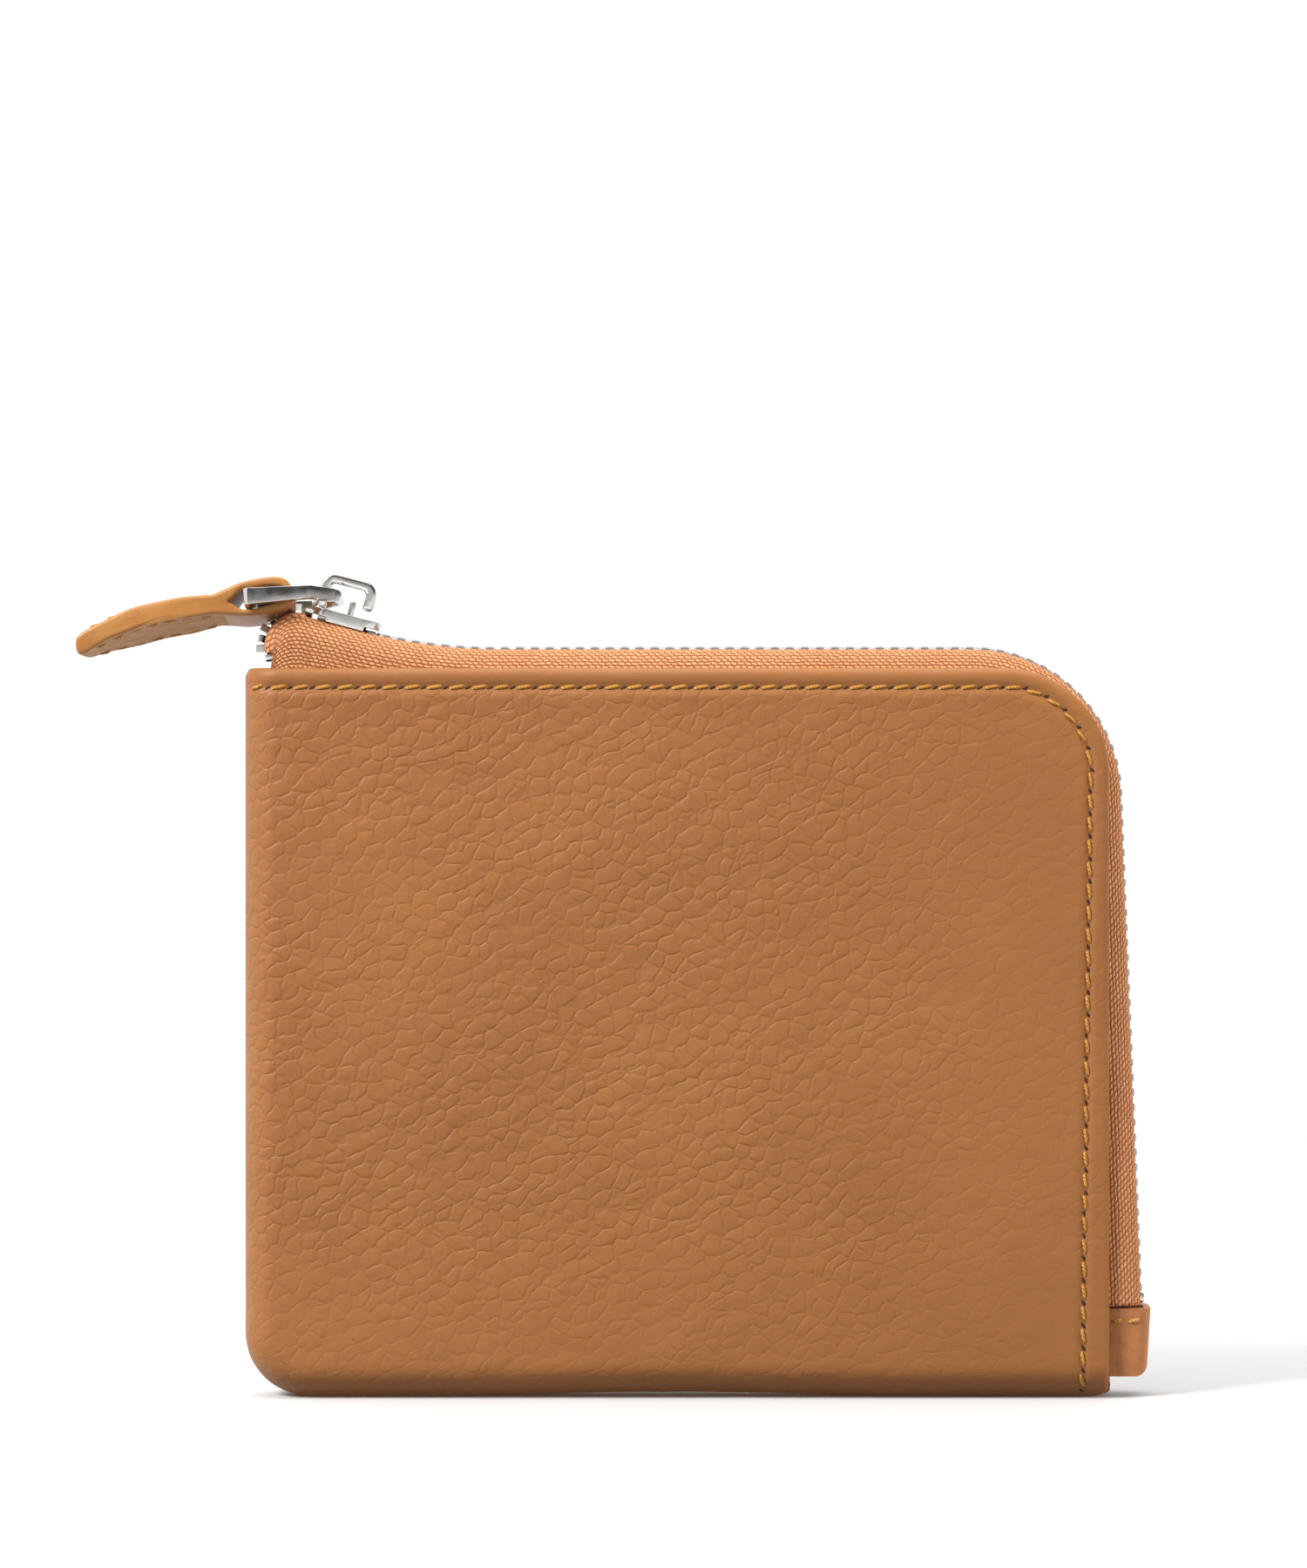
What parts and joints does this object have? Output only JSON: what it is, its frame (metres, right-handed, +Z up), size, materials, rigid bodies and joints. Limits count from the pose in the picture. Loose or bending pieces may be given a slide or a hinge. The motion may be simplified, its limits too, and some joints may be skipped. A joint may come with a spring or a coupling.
{
  "type": "zip wallet",
  "caption": "Slim upright leather wallet with an L-shaped metal zip over its top and side, a hinged front flap, a slider with a ring and a stitched strap.",
  "frame": {"origin": "centre of the bottom edge that the wallet stands on", "axes": "+X right as seen from the front, +Y to the back, +Z up"},
  "size_m": [0.1428, 0.0144, 0.1092],
  "materials": {
    "leather": "pebbled grain, semi-matt",
    "strap_leather": "smooth, painted edges",
    "lining": "plain weave",
    "zip_tape": "herringbone weave",
    "thread": "waxed polyester",
    "nickel": "polished nickel"
  },
  "bodies": {
    "root": {"front_panel_lower": "leather", "back_panel": "leather", "front_lining_lower": "lining", "back_lining": "lining", "coin_pocket": "lining", "card_slot_upper": "leather", "card_slot_middle": "leather", "card_slot_lower": "leather", "back_zip_tape": "zip_tape", "back_teeth": "nickel", "back_top_stop": "nickel", "bottom_stop": "nickel", "zip_end_tab": "leather", "tab_stitching": "thread", "front_corner_stitching": "thread", "back_stitching": "thread"},
    "flap": {"front_panel_flap": "leather", "front_lining_flap": "lining", "front_zip_tape": "zip_tape", "front_teeth": "nickel", "front_top_stop": "nickel", "front_stitching": "thread"},
    "slider": {"slider_body": "nickel", "slider_crown": "nickel"},
    "pin": {"lock_pin": "nickel"},
    "ring": {"pull_ring": "nickel"},
    "strap": {"strap_loop": "strap_leather"},
    "strap_end": {"strap_tail": "strap_leather", "strap_stitching": "thread"}
  },
  "joints": [
    {"name": "slider_travel", "type": "slide", "parent": "root", "child": "slider", "axis": [0.9991, 0, -0.0416], "range_m": [0, 0.0887], "deforming": ["front_teeth", "back_teeth", "front_zip_tape", "back_zip_tape"]},
    {"name": "mouth_open", "type": "hinge", "parent": "root", "child": "flap", "pos_m": [0, -0.007, 0.052], "axis": [0.8075, 0, -0.5898], "range_deg": [0, 30]},
    {"name": "lock_pin_lift", "type": "slide", "parent": "slider", "child": "pin", "axis": [0.2588, 0, 0.9659], "range_m": [0, 0.0004], "stiffness_N_per_m": 100, "springref_m": -0.0002},
    {"name": "ring_swing", "type": "hinge", "parent": "slider", "child": "ring", "pos_m": [-0.04528, 0, 0.10647], "axis": [0.0097, 0.9903, -0.1388], "range_deg": [0, 150]},
    {"name": "strap_swing", "type": "hinge", "parent": "ring", "child": "strap", "pos_m": [-0.05645, 0, 0.10569], "axis": [0.0097, 0.9903, -0.1388], "range_deg": [-45, 5]},
    {"name": "strap_bend", "type": "hinge", "parent": "strap", "child": "strap_end", "pos_m": [-0.06123, 0.00013, 0.10631], "axis": [0.0097, 0.9903, -0.1388], "range_deg": [0, 16]}
  ],
  "couplings": [
    {"joint": "mouth_open", "follows": "slider_travel", "rad_per_m": 5.9024},
    {"joint": "strap_bend", "follows": "slider_travel", "rad_per_m": 3.148}
  ]
}
